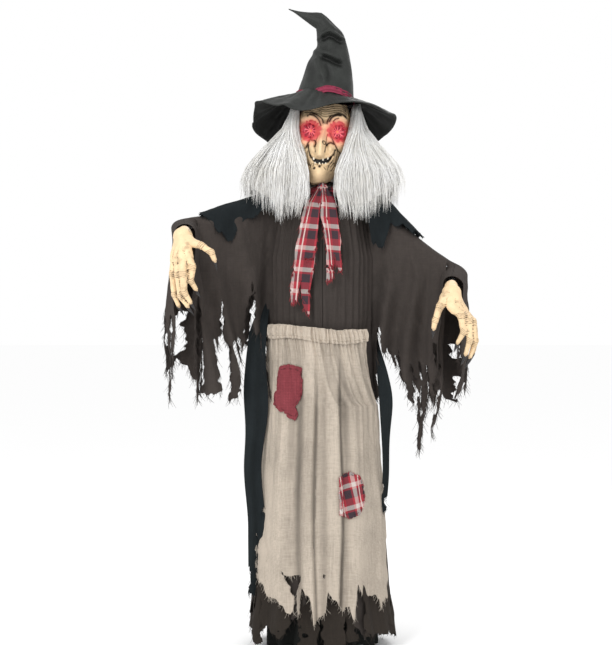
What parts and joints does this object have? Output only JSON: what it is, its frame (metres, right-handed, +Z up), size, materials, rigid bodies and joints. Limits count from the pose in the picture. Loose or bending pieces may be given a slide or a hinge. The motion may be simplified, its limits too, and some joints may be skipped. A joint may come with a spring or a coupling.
{
  "type": "animated witch figure",
  "caption": "Life-size free-standing witch figure: pointed hat, glowing-eyed mask, long wig, ragged layered clothes, claw hands, motor-turned head and posable arms on a pole stand.",
  "frame": {"origin": "centre of the stand hub's underside, on the floor", "axes": "+Z up along the pole; the face looks towards -Y; +X is the figure's left"},
  "size_m": [0.8386, 0.514, 1.7995],
  "materials": {
    "black_steel": "satin",
    "grey_pole": "satin",
    "bright_steel": "brushed",
    "arm_tube": "satin",
    "black_plastic": "matte",
    "white_plastic": "matte",
    "red_plastic": "gloss",
    "board": "satin",
    "cell": "gloss",
    "spring": "bright",
    "brass": "satin",
    "lead": "matte",
    "form": "matte",
    "lamp": "gloss, glows red",
    "latex": "matte latex skin",
    "nail": "gloss",
    "wig": "long fibre",
    "hat": "stiff cloth",
    "band": "ribbon",
    "robe": "plain weave",
    "gauze": "loose gauze",
    "cape": "plain weave",
    "linen": "open linen gauze",
    "plum": "open gauze",
    "plaid": "woven plaid"
  },
  "bodies": {
    "stand": {"base_hub": "black_steel", "base_legs": "black_steel", "leg_caps": "black_plastic", "base_screws": "bright_steel", "pole_lower": "grey_pole", "pole_middle": "grey_pole", "pole_upper": "grey_pole", "box_case": "black_plastic", "box_cover": "black_plastic", "cover_screws": "bright_steel", "batteries": "cell", "battery_springs": "spring", "circuit_board": "board", "speaker": "black_plastic", "body_wiring": "lead", "gearbox_case": "black_plastic", "gearbox_cover": "black_plastic", "gearbox_screws": "bright_steel", "motor": "bright_steel", "gear_pin": "bright_steel", "neck_bushes": "brass", "shoulder_frame": "black_steel", "shoulder_bolts": "bright_steel", "under_robe": "robe", "dress": "gauze", "cape": "cape", "apron": "linen", "waistband": "linen", "patch_plum": "plum", "patch_plaid": "plaid", "scarf": "plaid", "scarf_tails": "plaid", "hair_ends": "wig"},
    "head": {"neck_shaft": "bright_steel", "head_gear": "white_plastic", "head_plate": "black_steel", "head_form": "form", "eye_lamps": "lamp", "head_wiring": "lead", "mask": "latex", "hair": "wig", "hat_crown": "hat", "hat_brim": "hat", "hat_band": "band"},
    "reduction": {"compound_gear": "white_plastic"},
    "motor_gear": {"motor_pinion": "brass"},
    "arm_right": {"arm_right": "arm_tube", "sleeve_right": "gauze"},
    "arm_left": {"arm_left": "arm_tube", "sleeve_left": "gauze"},
    "hand_right": {"hand_right": "latex", "nails_right": "nail"},
    "hand_left": {"hand_left": "latex", "nails_left": "nail"},
    "door": {"battery_door": "black_plastic"},
    "switch": {"power_switch": "red_plastic"},
    "button": {"try_button": "red_plastic"},
    "snap_low": {"snap_button_low": "bright_steel"},
    "snap_high": {"snap_button_high": "bright_steel"}
  },
  "joints": [
    {"name": "head_turn", "type": "hinge", "parent": "stand", "child": "head", "pos_m": [0, 0, 1.3], "axis": [0, 0, 1], "range_deg": [-30, 30]},
    {"name": "reduction_spin", "type": "hinge", "parent": "stand", "child": "reduction", "pos_m": [0.03, 0, 1.145], "axis": [0, 0, 1], "range_deg": [-125, 125]},
    {"name": "motor_spin", "type": "hinge", "parent": "stand", "child": "motor_gear", "pos_m": [0.054, 0, 1.145], "axis": [0, 0, 1], "range_deg": [-365, 365]},
    {"name": "arm_right_swing", "type": "hinge", "parent": "stand", "child": "arm_right", "pos_m": [-0.165, 0, 1.2194], "axis": [0, 0, 1], "range_deg": [-20, 25]},
    {"name": "arm_left_swing", "type": "hinge", "parent": "stand", "child": "arm_left", "pos_m": [0.165, 0, 1.2194], "axis": [0, 0, 1], "range_deg": [-25, 20]},
    {"name": "hand_right_twist", "type": "hinge", "parent": "arm_right", "child": "hand_right", "pos_m": [-0.374, -0.242, 1.148], "axis": [0.0131, -0.9829, -0.1835], "range_deg": [-20, 20]},
    {"name": "hand_left_twist", "type": "hinge", "parent": "arm_left", "child": "hand_left", "pos_m": [0.35, -0.176, 0.998], "axis": [-0.1157, -0.9252, -0.3614], "range_deg": [-20, 20]},
    {"name": "battery_door_slide", "type": "slide", "parent": "stand", "child": "door", "axis": [0, 0, -1], "range_m": [0, 0.07]},
    {"name": "power_switch_slide", "type": "slide", "parent": "stand", "child": "switch", "axis": [1, 0, 0], "range_m": [0, 0.008]},
    {"name": "try_button_press", "type": "slide", "parent": "stand", "child": "button", "axis": [0, -1, 0], "range_m": [0, 0.003], "stiffness_N_per_m": 300},
    {"name": "snap_low_press", "type": "slide", "parent": "stand", "child": "snap_low", "axis": [0, -1, 0], "range_m": [0, 0.0044], "stiffness_N_per_m": 500},
    {"name": "snap_high_press", "type": "slide", "parent": "stand", "child": "snap_high", "axis": [0, -1, 0], "range_m": [0, 0.0044], "stiffness_N_per_m": 500}
  ],
  "couplings": [
    {"joint": "reduction_spin", "follows": "head_turn", "ratio": -4},
    {"joint": "motor_spin", "follows": "head_turn", "ratio": 12}
  ]
}
